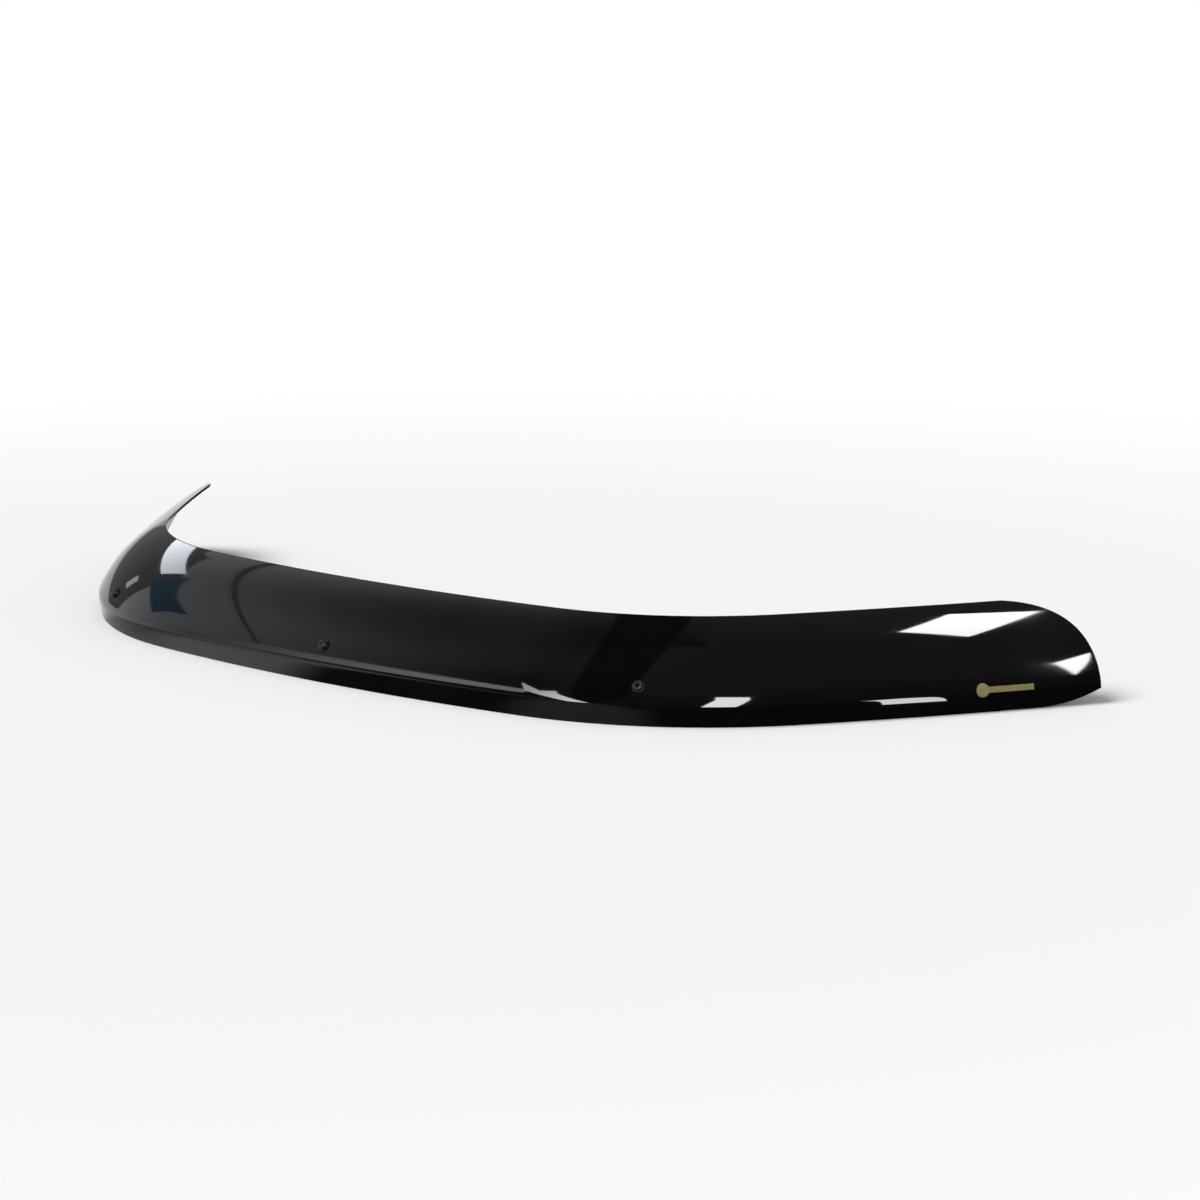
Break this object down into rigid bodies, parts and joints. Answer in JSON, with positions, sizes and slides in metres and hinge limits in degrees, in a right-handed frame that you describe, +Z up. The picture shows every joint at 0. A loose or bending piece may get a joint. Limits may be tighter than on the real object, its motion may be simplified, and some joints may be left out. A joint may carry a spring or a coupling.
{
  "type": "hood bug deflector",
  "caption": "Dark gloss wrap-around bug deflector for the front edge of a vehicle hood: a curved moulded shield with a turned-in lip and rounded wing ends, on bent strip brackets.",
  "frame": {"origin": "middle of the centre bracket's bolt hole, on the upper face of its foot", "axes": "+X along the shield to the left of whoever sits behind it, -Y the way the shield faces, +Z up"},
  "size_m": [1.4418, 0.4532, 0.1011],
  "materials": {
    "shield_acrylic": "polished near-black acrylic",
    "bracket_steel": "satin black coated steel strip",
    "pad_rubber": "matt black rubber",
    "spacer_nylon": "black nylon",
    "dark_steel": "black oxide steel",
    "bright_steel": "zinc plated steel"
  },
  "bodies": {
    "root": {"shield": "shield_acrylic", "head_washers": "dark_steel", "centre_bracket": "bracket_steel", "centre_foot_pad": "pad_rubber", "centre_spacer": "spacer_nylon", "centre_screw": "dark_steel", "centre_nut": "bright_steel", "left_bracket": "bracket_steel", "left_foot_pad": "pad_rubber", "left_spacer": "spacer_nylon", "left_screw": "dark_steel", "left_nut": "bright_steel", "right_bracket": "bracket_steel", "right_foot_pad": "pad_rubber", "right_spacer": "spacer_nylon", "right_screw": "dark_steel", "right_nut": "bright_steel", "buffer_front_left": "pad_rubber", "buffer_front_right": "pad_rubber", "buffer_shoulder_left": "pad_rubber", "buffer_shoulder_right": "pad_rubber", "buffer_wing_left": "pad_rubber", "buffer_wing_right": "pad_rubber"}
  },
  "joints": []
}
